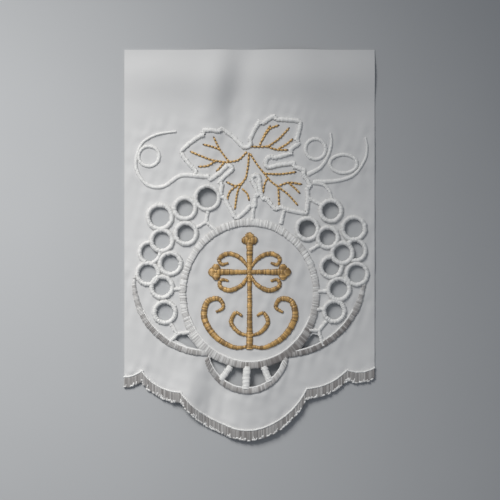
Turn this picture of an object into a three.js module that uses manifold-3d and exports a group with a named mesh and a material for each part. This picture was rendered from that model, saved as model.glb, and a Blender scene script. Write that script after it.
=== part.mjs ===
// A cut length of white altar cloth that lies face up in soft folds. Its lower edge is a scalloped hem in
// satin stitch. Above it, cutwork grapes and a vine leaf stand round an oval medallion with a gold cross.
// Millimetres, +Z up, +Y from the hem to the plain end. The origin is under the middle of the cloth.
import * as THREE from "three";
import { mergeVertices } from "three/addons/utils/BufferGeometryUtils.js";
import Module from "manifold-3d";

const wasm = await Module();
wasm.setup();
const { Manifold } = wasm;

// Driving dimensions
const CLOTH_WIDTH = 150;
const CLOTH_LENGTH = 234;
const CLOTH_THICK = 1.2;
const SATIN_RISE = 1.0;
const SATIN_ROOT = 0.4;
const GOLD_GAP = 0.4;
const GOLD_THICK = 0.9;
const HEM_BAND = 6.0;
const LEAF_BAND = 2.2;
const BAR_BAND = 1.8;
const CURL_BAND = 1.7;

// The sheet's facets, and how finely the stitched lines are drawn
const CELLS_ACROSS = 12;
const CELLS_ALONG = 19;
const STEP = 3.9;
const GOLD_STEP = 2.3;
const ROUND_SEGMENTS = 7;
const OVAL_SEGMENTS = 22;
const CUT_LOW = -20;
const CUT_HIGH = 40;
const CUT_MARGIN = 20;

// A short table: one object for each row, with the columns' names as keys.
const table = (columns, rows) =>
  rows.map((row) => Object.fromEntries(columns.split(" ").map((name, i) => [name, row[i]])));

// Soft ridges and troughs: the middle of each fold, the turn of its line from +Y, its half-width and
// half-length, and how far it rises
const FOLD_FLOOR = -0.8;
const FOLD_EASE = 0.6;
const FOLDS = table("x y turn across along rise", [
  [6, 5, 0, 52, 105, 5.2],
  [8, 101, 0, 120, 14, 3.0],
  [-20, 92, -8, 10, 34, 2.0],
  [-7, 90, -10, 9, 30, -3.2],
  [32, 96, 4, 16, 40, 2.2],
  [-2, -92, 0, 45, 28, 2.2],
  [-20, -94, -4, 9, 26, -3.4],
  [7, -98, -6, 15, 27, 1.4],
  [-36, -90, -4, 10, 24, 2.4],
]);

// The hem: the left end of each arc and how far the arc hangs below its chord. The large scallop is three
// arcs, because its flanks are nearly straight.
const HEM_END = { x: CLOTH_WIDTH / 2, y: -79.6 };
const HEM_ARCS = table("x y sag", [
  [-CLOTH_WIDTH / 2, -85.2, 1.0],
  [-64.5, -81.6, 3.4],
  [-41.1, -94.2, 2.5],
  [-14.8, -113.7, 3.1],
  [11.5, -113.9, 2.9],
  [34.2, -92.0, 2.6],
  [58.5, -81.0, 2.0],
]);

// Grapes: cut rounds with a satin ring, lower layer first where two rings overlap
const GRAPES = table("x y hole ring", [
  [-59.7, -4.5, 5.1, 6.9],
  [63.3, -3.3, 5.0, 6.9],
  [48.9, -13.2, 5.0, 7.0],
  [-25.2, 28.2, 6.0, 7.8],
  [-38.7, 21.9, 5.1, 7.2],
  [-53.7, 16.8, 6.0, 8.1],
  [-38.1, 6.9, 5.1, 7.2],
  [-52.5, 2.7, 5.1, 7.2],
  [-47.4, -11.1, 5.2, 7.2],
  [-60.9, -17.1, 5.3, 7.2],
  [-52.5, -25.2, 5.1, 7.2],
  [-50.7, -40.2, 5.2, 7.2],
  [48.6, 20.4, 5.1, 7.1],
  [62.4, 9.9, 5.6, 7.6],
  [34.5, 9.6, 5.2, 7.2],
  [46.8, 4.5, 4.9, 6.9],
  [55.5, -4.8, 4.9, 7.0],
  [64.2, -17.4, 5.3, 7.1],
  [53.4, -26.4, 5.2, 7.2],
  [50.7, -39.6, 5.0, 7.0],
]);
const UNDER_GRAPES = 3;

// The oval medallion, the two arcs that cup the grapes and the fan of cutwork under them
const MEDALLION = { x: 0, y: -29.1, outerX: 41.7, outerY: 44.7, innerX: 38.1, innerY: 40.5 };
const CUP_ARCS = table("x y radius band from to", [
  [-26.2, -21.6, 43, 3.3, 177, 272],
  [20.5, -17.0, 48.4, 3.3, 357, 274],
]);
const FAN = { x: -1.8, y: -62.9, radius: 24.0, band: 3.4 };
const FAN_BARS = table("x1 y1 x2 y2 band", [
  [-10.6, -71.6, -18.4, -82.5, 2.6],
  [-1.4, -71.0, -2.4, -88.5, 3.2],
  [8.0, -71.5, 12.9, -83.0, 2.8],
]);
// Corners of the cutwork opening at the foot of the left cup arc. The right one is its mirror image.
const SIDE_CUT = table("x y", [
  [-44.4, -56.8],
  [-42.4, -54.2],
  [-37.8, -53.2],
  [-30.6, -62.2],
  [-37.2, -60.6],
]);

// Tendrils and their curls
const TENDRIL_BAND = { root: 2.5, tip: 0.9 };
const TENDRILS = [
  table("x y", [[-29, 41], [-41, 41.6], [-52, 35], [-62, 36.6], [-68, 47], [-65, 60], [-56, 66], [-44, 68]]),
  table("x y", [[34.5, 42], [42.6, 46.6], [47.4, 54.4], [49, 61.6], [48.4, 67]]),
  table("x y", [[38, 37.6], [53, 38.6], [62.8, 42.4], [68.8, 50.6], [70.4, 58], [69.4, 64.4]]),
  table("x y", [[38, 37.4], [44.2, 36], [47.8, 32.2], [49.4, 27]]),
];
const CURLS = table("x y radiusX radiusY", [
  [-60.3, 53.2, 6.2, 6.0],
  [39.4, 57.3, 6.1, 6.1],
  [56.2, 48.6, 8.2, 5.5],
]);

// Short stitched bars that tie the grapes, the leaf and the medallion together
const BARS = table("x1 y1 x2 y2", [
  [-24.9, 21, -25.8, 13.8],
  [-25.8, 13.8, -32, 10.2],
  [-25.8, 13.8, -20.4, 9],
  [-47.6, -26.4, -41, -26.4],
  [-48, -45.6, -43.6, -53],
  [-47.6, -58, -42.9, -53.1],
  [-42.9, -53.1, -35.8, -52],
  [36, -3.4, 42, 0.4],
  [40.8, -27.6, 47, -27.6],
  [40.4, -38.4, 45, -38.4],
  [46.4, -45, 41.4, -51.2],
  [35.6, -50.8, 41.4, -51.2],
  [41.4, -51.2, 43.9, -60.4],
  [35, 28, 42.8, 24],
  [20.6, 20.6, 18.6, 12.6],
  [2.8, 27, 1.6, 14.4],
]);

// The vine leaf, anticlockwise. Each lobe has a direction and a reach from the hub, a side before its tip and
// a side after it, each with its belly's place and bulge and its teeth, and then a round notch with its
// direction, reach and width.
const LEAF_HUB = { x: 0, y: 58 };
const LOBES = table("turn reach before after notch", [
  [27, 34.4, [0.66, 16.5, 2], [0.4, 16.5, 2], [125, 0.8, 6.0]],
  [183, 41.5, [0.43, 21, 2], [0.66, 25, 2], [225, 15.4, 4.2]],
  [259.6, 43.3, [0.55, 19, 2], [0.64, 14, 2], [281, 16.6, 4.8]],
  [311, 51.9, [0.56, 20, 2], [0.54, 27, 3], [326, 12.2, 7.2]],
]);
// A tooth's height, and shares of a lobe's side: the plain stretch at the notch, the toothed stretch, and the
// room left at the lobe's tip, in teeth
const TOOTH = { rise: 2.6, plain: 0.14, toothed: 0.84, tipRoom: 1.2 };
// The round bottom of a notch: how far along and across its points lie, as shares of its width
const NOTCH_FEET = table("along across", [
  [0.15, -0.35],
  [0, 0],
  [0.15, 0.35],
]);
// Where the two arms of a notch meet the sides of the lobes, as shares of its width
const NOTCH_ARM = { along: 0.5, across: 0.5 };
// How far each straight piece of the leaf's outline runs past its corner, as a share of its width
const CORNER_REACH = 0.35;
// The cup arcs start narrow: the first width as a share of the full one, and the growth along the arc
const CUP_SWELL = { first: 0.4, growth: 2.4 };

// The gold cross, about the middle of the medallion: strokes given by the points of their middle line and by
// the width at their ends and half way. The scrolls are drawn on the right and mirrored.
const GOLD_BARS = table("ends middle line", [
  [4.2, 2.5, [[0, 32], [0, 0], [0, -33]]],
  [4.2, 2.5, [[-20, 13], [0, 13], [20, 13]]],
]);
const GOLD_SCROLLS = table("ends middle line", [
  [1.1, 2.6, [[0.4, 15], [5, 21], [12, 24], [17.8, 21.4], [16.8, 17.6], [12.6, 18.4]]],
  [1.1, 2.6, [[0.4, 11], [5, 5], [12, 2], [17.8, 4.6], [16.8, 8.4], [12.6, 7.6]]],
  [1.2, 3.6, [[0.4, -31], [9, -32], [20, -26], [27, -15], [25.4, -5], [18.6, -3], [15.6, -8], [20, -11]]],
  [1.1, 2.4, [[0.4, -25], [6.6, -23], [11, -17], [8.4, -11.4], [4.4, -13.2]]],
]);
// Trefoil buds on the upper three ends of the cross: each end, and the way it points in degrees
const GOLD_BUDS = table("x y turn", [
  [0, 32, 90],
  [-20, 13, 180],
  [20, 13, 0],
]);
const BUD = { radius: 2.5, reach: 2.2, spread: 90 };

const CLOTH_WHITE = new THREE.MeshStandardMaterial({ color: 0xe9e9e6, roughness: 0.85, metalness: 0 });
const GOLD_THREAD = new THREE.MeshStandardMaterial({ color: 0xb9873c, roughness: 0.45, metalness: 0 });

const radians = THREE.MathUtils.degToRad;
const point = ({ x, y }) => new THREE.Vector2(x, y);
const polar = (turn, reach) =>
  new THREE.Vector2(Math.cos(radians(turn)), Math.sin(radians(turn))).multiplyScalar(reach);

// How high the cloth's underside lies at a place. It rests flat on the table wherever no fold lifts it.
function foldHeight(x, y) {
  const lifts = FOLDS.map((fold) => {
    const away = new THREE.Vector2(x - fold.x, y - fold.y);
    away.rotateAround(new THREE.Vector2(), -radians(fold.turn));
    return fold.rise * Math.exp(-((away.x / fold.across) ** 2) - (away.y / fold.along) ** 2);
  });
  const raised = lifts.reduce((sum, lift) => sum + lift, FOLD_FLOOR);
  return raised > 0 ? raised ** 2 / (raised + FOLD_EASE) : 0;
}

// A closed three.js geometry as a solid that can be joined and cut.
function solidOf(geometry) {
  geometry.deleteAttribute("normal");
  geometry.deleteAttribute("uv");
  const merged = mergeVertices(geometry);
  return new Manifold(
    new wasm.Mesh({
      numProp: 3,
      vertProperties: merged.attributes.position.array,
      triVerts: new Uint32Array(merged.index.array),
    }),
  );
}

// A layer that follows the folds, from one height above the cloth's underside to another.
function foldedLayer(low, high) {
  const box = new THREE.BoxGeometry(CLOTH_WIDTH, CLOTH_LENGTH, 1, CELLS_ACROSS, CELLS_ALONG, 1);
  const places = box.attributes.position;
  for (let i = 0; i < places.count; i += 1) {
    const lift = foldHeight(places.getX(i), places.getY(i));
    places.setZ(i, lift + (places.getZ(i) > 0 ? high : low));
  }
  return solidOf(box);
}

// An upright cutter with the given outline.
function upright(shape, segments = ROUND_SEGMENTS) {
  const geometry = new THREE.ExtrudeGeometry(shape, {
    depth: CUT_HIGH - CUT_LOW,
    bevelEnabled: false,
    curveSegments: segments,
  });
  return solidOf(geometry.translate(0, 0, CUT_LOW));
}

const oval = (x, y, radiusX, radiusY) =>
  new THREE.Shape().absellipse(x, y, radiusX, radiusY, 0, 2 * Math.PI, false, 0);
const disc = (x, y, radius) => upright(oval(x, y, radius, radius));

function anticlockwise(corners) {
  return THREE.ShapeUtils.area(corners) < 0 ? [...corners].reverse() : corners;
}

// A stitched line: a band along a curve whose width is given at each place from 0 to 1.
function bandAlong(curve, widthAt, step = STEP) {
  const steps = Math.max(2, Math.round(curve.getLength() / step));
  const sides = [[], []];
  for (let i = 0; i <= steps; i += 1) {
    const share = i / steps;
    const middle = curve.getPointAt(share);
    const tangent = curve.getTangentAt(share);
    const out = new THREE.Vector2(-tangent.y, tangent.x).multiplyScalar(widthAt(share) / 2);
    sides[0].push(middle.clone().add(out));
    sides[1].unshift(middle.clone().sub(out));
  }
  return upright(new THREE.Shape(anticlockwise(sides.flat())));
}

const straightBand = ({ x1, y1, x2, y2 }, band) =>
  bandAlong(new THREE.LineCurve(new THREE.Vector2(x1, y1), new THREE.Vector2(x2, y2)), () => band);

function arcCurve({ x, y, radius, from, to }) {
  return new THREE.EllipseCurve(x, y, radius, radius, radians(from), radians(to), to < from);
}

// The hem's line as arcs, each through its two ends with its own sag.
function hemCurves() {
  const ends = [...HEM_ARCS.map(point), point(HEM_END)];
  return HEM_ARCS.map(({ sag }, i) => {
    const [start, end] = [ends[i], ends[i + 1]];
    const half = start.distanceTo(end) / 2;
    const radius = (half ** 2 + sag ** 2) / (2 * sag);
    const along = end.clone().sub(start).normalize();
    const inward = new THREE.Vector2(-along.y, along.x);
    const centre = start.clone().add(end).divideScalar(2).addScaledVector(inward, radius - sag);
    const from = start.clone().sub(centre).angle();
    const to = end.clone().sub(centre).angle();
    return new THREE.EllipseCurve(centre.x, centre.y, radius, radius, from, to, false);
  });
}

// Everything on the cloth's side of the scalloped hem, or of the same line moved up from it.
function aboveHem(rise) {
  const hem = hemCurves().flatMap((curve) => {
    const steps = Math.max(2, Math.round(curve.getLength() / STEP));
    return curve.getSpacedPoints(steps).slice(0, -1);
  });
  const side = CLOTH_WIDTH / 2 + CUT_MARGIN;
  const top = CLOTH_LENGTH / 2 + CUT_MARGIN;
  const loop = [
    new THREE.Vector2(-side, HEM_ARCS[0].y),
    ...hem,
    point(HEM_END),
    new THREE.Vector2(side, HEM_END.y),
    new THREE.Vector2(side, top),
    new THREE.Vector2(-side, top),
  ];
  return upright(new THREE.Shape(loop.map(({ x, y }) => new THREE.Vector2(x, y + rise))));
}

// One side of a leaf lobe, from the notch beside it to its tip, with teeth that point to the tip.
function lobeSide(notch, { turn, reach }, side, [belly, bulge, teeth]) {
  const hub = point(LEAF_HUB);
  const tip = polar(turn, reach).add(hub);
  const swell = polar(turn, reach * belly).add(polar(turn + 90 * side, bulge)).add(hub);
  const edge = new THREE.QuadraticBezierCurve(notch, swell, tip);
  const points = [edge.getPoint(0), edge.getPoint(TOOTH.plain)];
  for (let tooth = 1; tooth <= teeth; tooth += 1) {
    const share = TOOTH.plain + (TOOTH.toothed * tooth) / (teeth + TOOTH.tipRoom);
    const tangent = edge.getTangent(share);
    const out = new THREE.Vector2(-tangent.y, tangent.x).multiplyScalar(side * TOOTH.rise);
    points.push(edge.getPoint(share).add(out), edge.getPoint(share));
  }
  return points;
}

// A point of the notch that follows a lobe: side -1 is the lobe's own, and side 1 is the next lobe's.
function notchPoint([turn, reach, width], side, along, across) {
  const out = polar(turn, reach + width * along);
  return out.add(polar(turn + 90 * side, width * across)).add(point(LEAF_HUB));
}

function leafOutline() {
  const notchArm = ({ notch }, side) => notchPoint(notch, side, NOTCH_ARM.along, NOTCH_ARM.across);
  const notchFeet = ({ notch }) => NOTCH_FEET.map(({ along, across }) => notchPoint(notch, 1, along, across));
  return LOBES.flatMap((lobe, i) => {
    const previous = LOBES[(i + LOBES.length - 1) % LOBES.length];
    const tip = polar(lobe.turn, lobe.reach).add(point(LEAF_HUB));
    const before = lobeSide(notchArm(previous, 1), lobe, -1, lobe.before);
    const after = lobeSide(notchArm(lobe, -1), lobe, 1, lobe.after);
    return [...before, tip, ...after.reverse(), ...notchFeet(lobe)];
  });
}

// Bands along the sides of a closed outline, each a little longer than its side so that the corners fill.
function outlineBands(points, band) {
  return points.map((start, i) => {
    const end = points[(i + 1) % points.length];
    const reach = end.clone().sub(start).setLength(band * CORNER_REACH);
    const [from, to] = [start.clone().sub(reach), end.clone().add(reach)];
    return straightBand({ x1: from.x, y1: from.y, x2: to.x, y2: to.y }, band);
  });
}

function ovalBand({ x, y, radiusX, radiusY }, band) {
  const shape = oval(x, y, radiusX + band / 2, radiusY + band / 2);
  shape.holes.push(oval(x, y, radiusX - band / 2, radiusY - band / 2));
  return upright(shape);
}

const medallionOval = (x, y) => upright(oval(MEDALLION.x, MEDALLION.y, x, y), OVAL_SEGMENTS);

// The fan of cutwork under the medallion, with its rim grown by the given width.
const fanDisc = (grown) =>
  upright(oval(FAN.x, FAN.y, FAN.radius + grown, FAN.radius + grown), 2 * ROUND_SEGMENTS);

// Where the white satin stitching lies, apart from the hem and the grapes' rings. The fan is whole here, and
// its top edge lies under the middle of the medallion's band.
function satinPlan() {
  const { outerX, outerY, innerX, innerY } = MEDALLION;
  const tendrilWidth = (share) => THREE.MathUtils.lerp(TENDRIL_BAND.root, TENDRIL_BAND.tip, share);
  const cupWidth = (band) => (share) => band * Math.min(1, CUP_SWELL.first + CUP_SWELL.growth * share);
  return Manifold.union([
    medallionOval(outerX, outerY).subtract(medallionOval(innerX, innerY)),
    fanDisc(FAN.band / 2).subtract(medallionOval((outerX + innerX) / 2, (outerY + innerY) / 2)),
    ...CUP_ARCS.map((arc) => bandAlong(arcCurve(arc), cupWidth(arc.band))),
    ...BARS.map((bar) => straightBand(bar, BAR_BAND)),
    ...TENDRILS.map((line) => bandAlong(new THREE.SplineCurve(line.map(point)), tendrilWidth)),
    ...CURLS.map((curl) => ovalBand(curl, CURL_BAND)),
    ...outlineBands(leafOutline(), LEAF_BAND),
  ]);
}

// The cutwork openings that are not grapes: the fan between its bars, and one at the foot of each cup arc.
function cutworkPlan() {
  const medallion = medallionOval(MEDALLION.outerX, MEDALLION.outerY);
  const bars = FAN_BARS.map((bar) => straightBand(bar, bar.band));
  const left = SIDE_CUT.map(point);
  const right = left.map(({ x, y }) => new THREE.Vector2(-x, y));
  const sides = [left, right].map((corners) => upright(new THREE.Shape(anticlockwise(corners))));
  return Manifold.union([fanDisc(-FAN.band / 2).subtract(Manifold.union([medallion, ...bars])), ...sides]);
}

// The cloth with its cutwork and its raised white stitching. The grapes that lie under others are made first,
// so that the upper rings cross their openings.
function clothSolid() {
  const satinLayer = foldedLayer(SATIN_ROOT, CLOTH_THICK + SATIN_RISE);
  const hemBand = satinLayer.subtract(aboveHem(HEM_BAND));
  let cloth = Manifold.union([foldedLayer(0, CLOTH_THICK), satinLayer.intersect(satinPlan()), hemBand]);
  cloth = cloth.subtract(cutworkPlan());
  for (const grapes of [GRAPES.slice(0, UNDER_GRAPES), GRAPES.slice(UNDER_GRAPES)]) {
    const rings = Manifold.union(grapes.map(({ x, y, ring }) => disc(x, y, ring)));
    const holes = Manifold.union(grapes.map(({ x, y, hole }) => disc(x, y, hole)));
    cloth = cloth.add(satinLayer.intersect(rings)).subtract(holes);
  }
  return cloth.intersect(aboveHem(0));
}

// A trefoil bud: a round ahead of the bar's end and one on each side of it.
function budDiscs({ x, y, turn }) {
  return [-BUD.spread, 0, BUD.spread].map((side) => {
    const middle = polar(turn + side, BUD.reach);
    return disc(x + middle.x + MEDALLION.x, y + middle.y + MEDALLION.y, BUD.radius);
  });
}

// The gold cross, which lies on the cloth inside the medallion.
function goldSolid() {
  const strokes = [...GOLD_BARS, ...GOLD_SCROLLS, ...GOLD_SCROLLS.map(mirrored)];
  const bands = strokes.map(({ ends, middle, line }) => {
    const places = line.map(([x, y]) => new THREE.Vector2(x + MEDALLION.x, y + MEDALLION.y));
    const width = (share) => THREE.MathUtils.lerp(middle, ends, (2 * share - 1) ** 2);
    return bandAlong(new THREE.SplineCurve(places), width, GOLD_STEP);
  });
  const low = CLOTH_THICK + GOLD_GAP;
  const plan = Manifold.union([...bands, ...GOLD_BUDS.flatMap(budDiscs)]);
  return foldedLayer(low, low + GOLD_THICK).intersect(plan);
}

function mirrored(stroke) {
  return { ...stroke, line: stroke.line.map(([x, y]) => [-x, y]) };
}

// A named mesh of a finished solid.
function meshOf(name, solid, material) {
  const { numVert, numProp, vertProperties, triVerts } = solid.getMesh();
  const places = new Float32Array(numVert * 3);
  for (let i = 0; i < numVert; i += 1) {
    places.set(vertProperties.subarray(i * numProp, i * numProp + 3), i * 3);
  }
  const geometry = new THREE.BufferGeometry();
  geometry.setAttribute("position", new THREE.BufferAttribute(places, 3));
  geometry.setIndex(new THREE.BufferAttribute(triVerts, 1));
  geometry.computeVertexNormals();
  const mesh = new THREE.Mesh(geometry, material);
  mesh.name = name;
  return mesh;
}

const altarCloth = new THREE.Group();
altarCloth.name = "altar_cloth";
altarCloth.add(meshOf("cloth", clothSolid(), CLOTH_WHITE));
altarCloth.add(meshOf("gold_cross", goldSolid(), GOLD_THREAD));

export default altarCloth;
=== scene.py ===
# %% [markdown]
# # A cut length of altar cloth
# The part is one repeat of an altar cloth's border: white woven cloth that lies face up in soft folds, a
# scalloped hem, cutwork grapes with satin rings, a vine leaf with gold veins, and an oval with a gold
# cross. The measured solids are the frame. This lesson replaces them by a thin sheet and by real stitches
# on it. Lengths in the tables are millimetres, as a maker would measure them, and MM turns them into
# metres.

import math

import bpy
import numpy as np
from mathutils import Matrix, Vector
from mathutils.kdtree import KDTree


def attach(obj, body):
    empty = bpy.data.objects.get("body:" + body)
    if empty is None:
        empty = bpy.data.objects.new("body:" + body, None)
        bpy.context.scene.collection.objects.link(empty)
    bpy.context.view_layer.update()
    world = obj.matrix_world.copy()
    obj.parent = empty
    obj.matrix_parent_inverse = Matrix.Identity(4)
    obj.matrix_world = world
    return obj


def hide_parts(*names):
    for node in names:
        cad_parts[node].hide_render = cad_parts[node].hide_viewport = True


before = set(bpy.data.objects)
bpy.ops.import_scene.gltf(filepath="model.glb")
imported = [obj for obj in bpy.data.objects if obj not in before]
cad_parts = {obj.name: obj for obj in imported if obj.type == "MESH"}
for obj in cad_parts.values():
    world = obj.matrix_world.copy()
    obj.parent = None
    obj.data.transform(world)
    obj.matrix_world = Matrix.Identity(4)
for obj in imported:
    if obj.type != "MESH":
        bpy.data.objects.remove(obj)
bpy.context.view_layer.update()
bpy.ops.object.select_all(action="DESELECT")
MM = 0.001

# %% [markdown]
# ## Camera, floor and light
# The cloth is looked at from straight above. A long lens keeps the sides parallel, as they are when a
# cloth is photographed from a step away. White stitching on white cloth shows only by its shadows, so the
# main light is low and comes from the upper left, and a weak grey sky fills the rest.

# %% Camera
PICTURE_WIDTH = 300 * MM
CAMERA_HEIGHT = 700 * MM
CAMERA_OVER = (0.3 * MM, -3.0 * MM)
SENSOR = 36.0

bpy.ops.object.camera_add(location=(*CAMERA_OVER, CAMERA_HEIGHT), rotation=(0, 0, 0))
camera = bpy.context.object
camera.name = "camera_above"
camera.data.sensor_width = SENSOR
camera.data.lens = SENSOR * CAMERA_HEIGHT / PICTURE_WIDTH
camera.data.clip_start = 0.01
bpy.context.scene.camera = camera
bpy.context.scene.view_settings.view_transform = "Standard"
print(f"camera: {camera.data.lens:.0f} mm lens, {CAMERA_HEIGHT:.2f} m above the cloth")

# %% Lights
SKY_TONE = (0.80, 0.86, 0.95, 1.0)
SKY_STRENGTH = 0.24
WINDOW_PLACE, WINDOW_AIM = (-0.38, 0.46, 0.54), (-0.17, -0.05, 0.0)
WINDOW_SIZE, WINDOW_SPREAD, WINDOW_POWER = 0.36, 54, 0.72
WINDOW_TONE = (1.0, 0.985, 0.96)


def area_light(name, place, aim, size, spread, power, tone):
    bpy.ops.object.light_add(type="AREA", location=place)
    light = bpy.context.object
    light.name = name
    light.data.size = size
    light.data.spread = math.radians(spread)
    light.data.energy = power
    light.data.color = tone
    light.rotation_euler = (Vector(aim) - Vector(place)).to_track_quat("-Z", "Y").to_euler()
    return light


window = (WINDOW_PLACE, WINDOW_AIM, WINDOW_SIZE, WINDOW_SPREAD, WINDOW_POWER, WINDOW_TONE)
area_light("window_light", *window)
sky = bpy.data.worlds.new("studio_sky")
sky.use_nodes = True
sky.node_tree.nodes["Background"].inputs["Color"].default_value = SKY_TONE
sky.node_tree.nodes["Background"].inputs["Strength"].default_value = SKY_STRENGTH
bpy.context.scene.world = sky
print("lights: a low window light and a grey sky")

# %% [markdown]
# ## Finishes
# There are three finishes and a floor. Each is a Principled shader with its own small detail: the ground
# cloth has a plain weave, the white satin thread is a little warmer and glossier, and the gold thread is
# glossy rayon. A thread's colour changes a little from stitch to stitch, and it also holds painted shade:
# stitch ends are painted darker where the thread goes into the cloth, and wide satin bands are painted
# darker where their stitches run one way. The attribute "tone" carries both, and a thread's twist is a
# bump along the thread's own UV map. Values that are the same all over sit on the shader's own sockets.


# %% Material helpers
def new_finish(name, roughness, specular, sheen=0.0):
    material = bpy.data.materials.new(name)
    material.use_nodes = True
    shader = material.node_tree.nodes["Principled BSDF"]
    shader.inputs["Roughness"].default_value = roughness
    shader.inputs["Specular IOR Level"].default_value = specular
    shader.inputs["Sheen Weight"].default_value = sheen
    return material, shader


def add_node(material, kind, **settings):
    node = material.node_tree.nodes.new(kind)
    for key, value in settings.items():
        if key in node.inputs:
            node.inputs[key].default_value = value
        else:
            setattr(node, key, value)
    return node


def link(material, source, output, target, socket):
    material.node_tree.links.new(source.outputs[output], target.inputs[socket])


def two_tones(material, source, output, dark, light, shader):
    ramp = add_node(material, "ShaderNodeValToRGB")
    ramp.color_ramp.elements[0].color = (*dark, 1.0)
    ramp.color_ramp.elements[1].color = (*light, 1.0)
    link(material, source, output, ramp, "Fac")
    link(material, ramp, "Color", shader, "Base Color")


print("finish helpers: one Principled shader, nodes, links and a ramp of two tones")


# %% Ground cloth and floor
WEAVE_PITCH = 0.42 * MM
WAVE_PERIOD = 2 * math.pi / 20
WEAVE_DEPTH = 0.05 * MM


def weave_finish():
    material, shader = new_finish("white_weave", 0.82, 0.25, 0.12)
    place = add_node(material, "ShaderNodeTexCoord")
    cloudy = add_node(material, "ShaderNodeTexNoise", Scale=55.0, Detail=4.0)
    link(material, place, "Object", cloudy, "Vector")
    two_tones(material, cloudy, "Fac", (0.722, 0.722, 0.721), (0.762, 0.76, 0.754), shader)
    height = None
    for direction in ("X", "Y"):
        yarns = add_node(material, "ShaderNodeTexWave", Scale=WAVE_PERIOD / WEAVE_PITCH, Distortion=1.2)
        yarns.bands_direction = direction
        link(material, place, "Object", yarns, "Vector")
        bump = add_node(material, "ShaderNodeBump", Strength=0.35, Distance=WEAVE_DEPTH)
        link(material, yarns, "Fac", bump, "Height")
        if height:
            link(material, height, "Normal", bump, "Normal")
        height = bump
    link(material, height, "Normal", shader, "Normal")
    return material


def floor_finish():
    material, shader = new_finish("pale_floor", 0.9, 0.1)
    place = add_node(material, "ShaderNodeTexCoord")
    cloudy = add_node(material, "ShaderNodeTexNoise", Scale=9.0, Detail=3.0)
    link(material, place, "Object", cloudy, "Vector")
    two_tones(material, cloudy, "Fac", (0.51, 0.52, 0.53), (0.55, 0.56, 0.57), shader)
    return material


white_weave = weave_finish()
bpy.ops.mesh.primitive_plane_add(size=6.0, location=(0, 0, -0.05 * MM))
floor = bpy.context.object
floor.name = "floor"
floor.data.materials.append(floor_finish())
print("finishes:", white_weave.name, floor.data.materials[0].name)

# %% Threads
TWIST_TURNS = 1.1
TWIST_DEPTH = 0.03 * MM


def thread_finish(name, dark, light, roughness, specular, sheen, metal=0.0):
    material, shader = new_finish(name, roughness, specular, sheen)
    shader.inputs["Metallic"].default_value = metal
    tone = add_node(material, "ShaderNodeAttribute", attribute_name="tone")
    two_tones(material, tone, "Fac", dark, light, shader)
    along = add_node(material, "ShaderNodeUVMap", uv_map="thread")
    twist = add_node(material, "ShaderNodeTexWave", Scale=TWIST_TURNS * WAVE_PERIOD, Distortion=0.3)
    twist.bands_direction = "DIAGONAL"
    link(material, along, "UV", twist, "Vector")
    bump = add_node(material, "ShaderNodeBump", Strength=0.4, Distance=TWIST_DEPTH)
    link(material, twist, "Fac", bump, "Height")
    link(material, bump, "Normal", shader, "Normal")
    return material


# Tone 1 is a thread's own colour; the low tones near the dark end are mostly painted shade on stitch ends,
# dips and shaded satin.
white_thread = thread_finish("white_thread", (0.27, 0.25, 0.24), (0.98, 0.975, 0.955), 0.42, 0.6, 0.15)
gold_thread = thread_finish("gold_thread", (0.07, 0.024, 0.006), (0.86, 0.545, 0.195), 0.36, 0.9, 0.0, 0.2)
print("threads:", white_thread.name, gold_thread.name)

# %% [markdown]
# ## The folds
# Real cloth never lies quite flat. Its soft ridges and troughs are a sum of long round hills, each with
# its own place, turn, half-width, half-length and rise, the same ones that the measured solid has. A
# simulation would give other folds on every run of a new version, so the folds that the eye sees are
# listed instead.

# %% Fold height
FOLD_FLOOR = -0.8
FOLD_EASE = 0.6
FOLDS = [  # x, y, turn in degrees, across, along, rise
    (6, 5, 0, 52, 105, 5.2),
    (8, 101, 0, 120, 14, 3.0),
    (-20, 92, -8, 10, 34, 2.0),
    (-7, 90, -10, 9, 30, -3.2),
    (32, 96, 4, 16, 40, 2.2),
    (-2, -92, 0, 45, 28, 2.2),
    (-20, -94, -4, 9, 26, -3.4),
    (7, -98, -6, 15, 27, 1.4),
    (-36, -90, -4, 10, 24, 2.4),
]


def fold_height(x, y):
    """How high the cloth's underside lies, in millimetres."""
    raised = np.full(np.shape(x), FOLD_FLOOR, float)
    for fold_x, fold_y, turn, across, along, rise in FOLDS:
        cos, sin = math.cos(math.radians(turn)), math.sin(math.radians(turn))
        away_x = (x - fold_x) * cos + (y - fold_y) * sin
        away_y = (y - fold_y) * cos - (x - fold_x) * sin
        raised += rise * np.exp(-((away_x / across) ** 2) - (away_y / along) ** 2)
    raised = np.maximum(raised, 0)
    return raised**2 / (raised + FOLD_EASE)


print(f"folds: {fold_height(np.array([6.0]), np.array([5.0]))[0]:.1f} mm high in the middle")

# %% [markdown]
# ## The plan of the stitching
# An embroiderer starts from a drawing on paper. Here the drawing is a set of lines in the plane of the
# cloth: arcs, ovals, splines and straight bars. Every satin stitch crosses its line from one edge to the
# other, so a line with a width gives two rows of points, where the stitches start and where they end.


# %% Lines and rows
def arc(x, y, radius_x, radius_y, first, last):
    count = max(12, int(abs(math.radians(last - first)) * max(radius_x, radius_y) / 0.4))
    turn = np.radians(np.linspace(first, last, count + 1))
    return np.stack([x + radius_x * np.cos(turn), y + radius_y * np.sin(turn)], axis=1)


def spline(points, per_span=16):
    """A smooth line through the points, with its end points held."""
    p = np.array([points[0], *points, points[-1]], float)
    t = np.linspace(0, 1, per_span, endpoint=False)[:, None]
    spans = []
    for a, b, c, d in zip(p[:-3], p[1:-2], p[2:-1], p[3:]):
        rise, fall = (c - a) / 2, (d - b) / 2
        cubic = 2 * b - 2 * c + rise + fall
        square = 3 * c - 3 * b - 2 * rise - fall
        spans.append(cubic * t**3 + square * t**2 + rise * t + b)
    return np.concatenate([*spans, p[-1:]])


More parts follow.
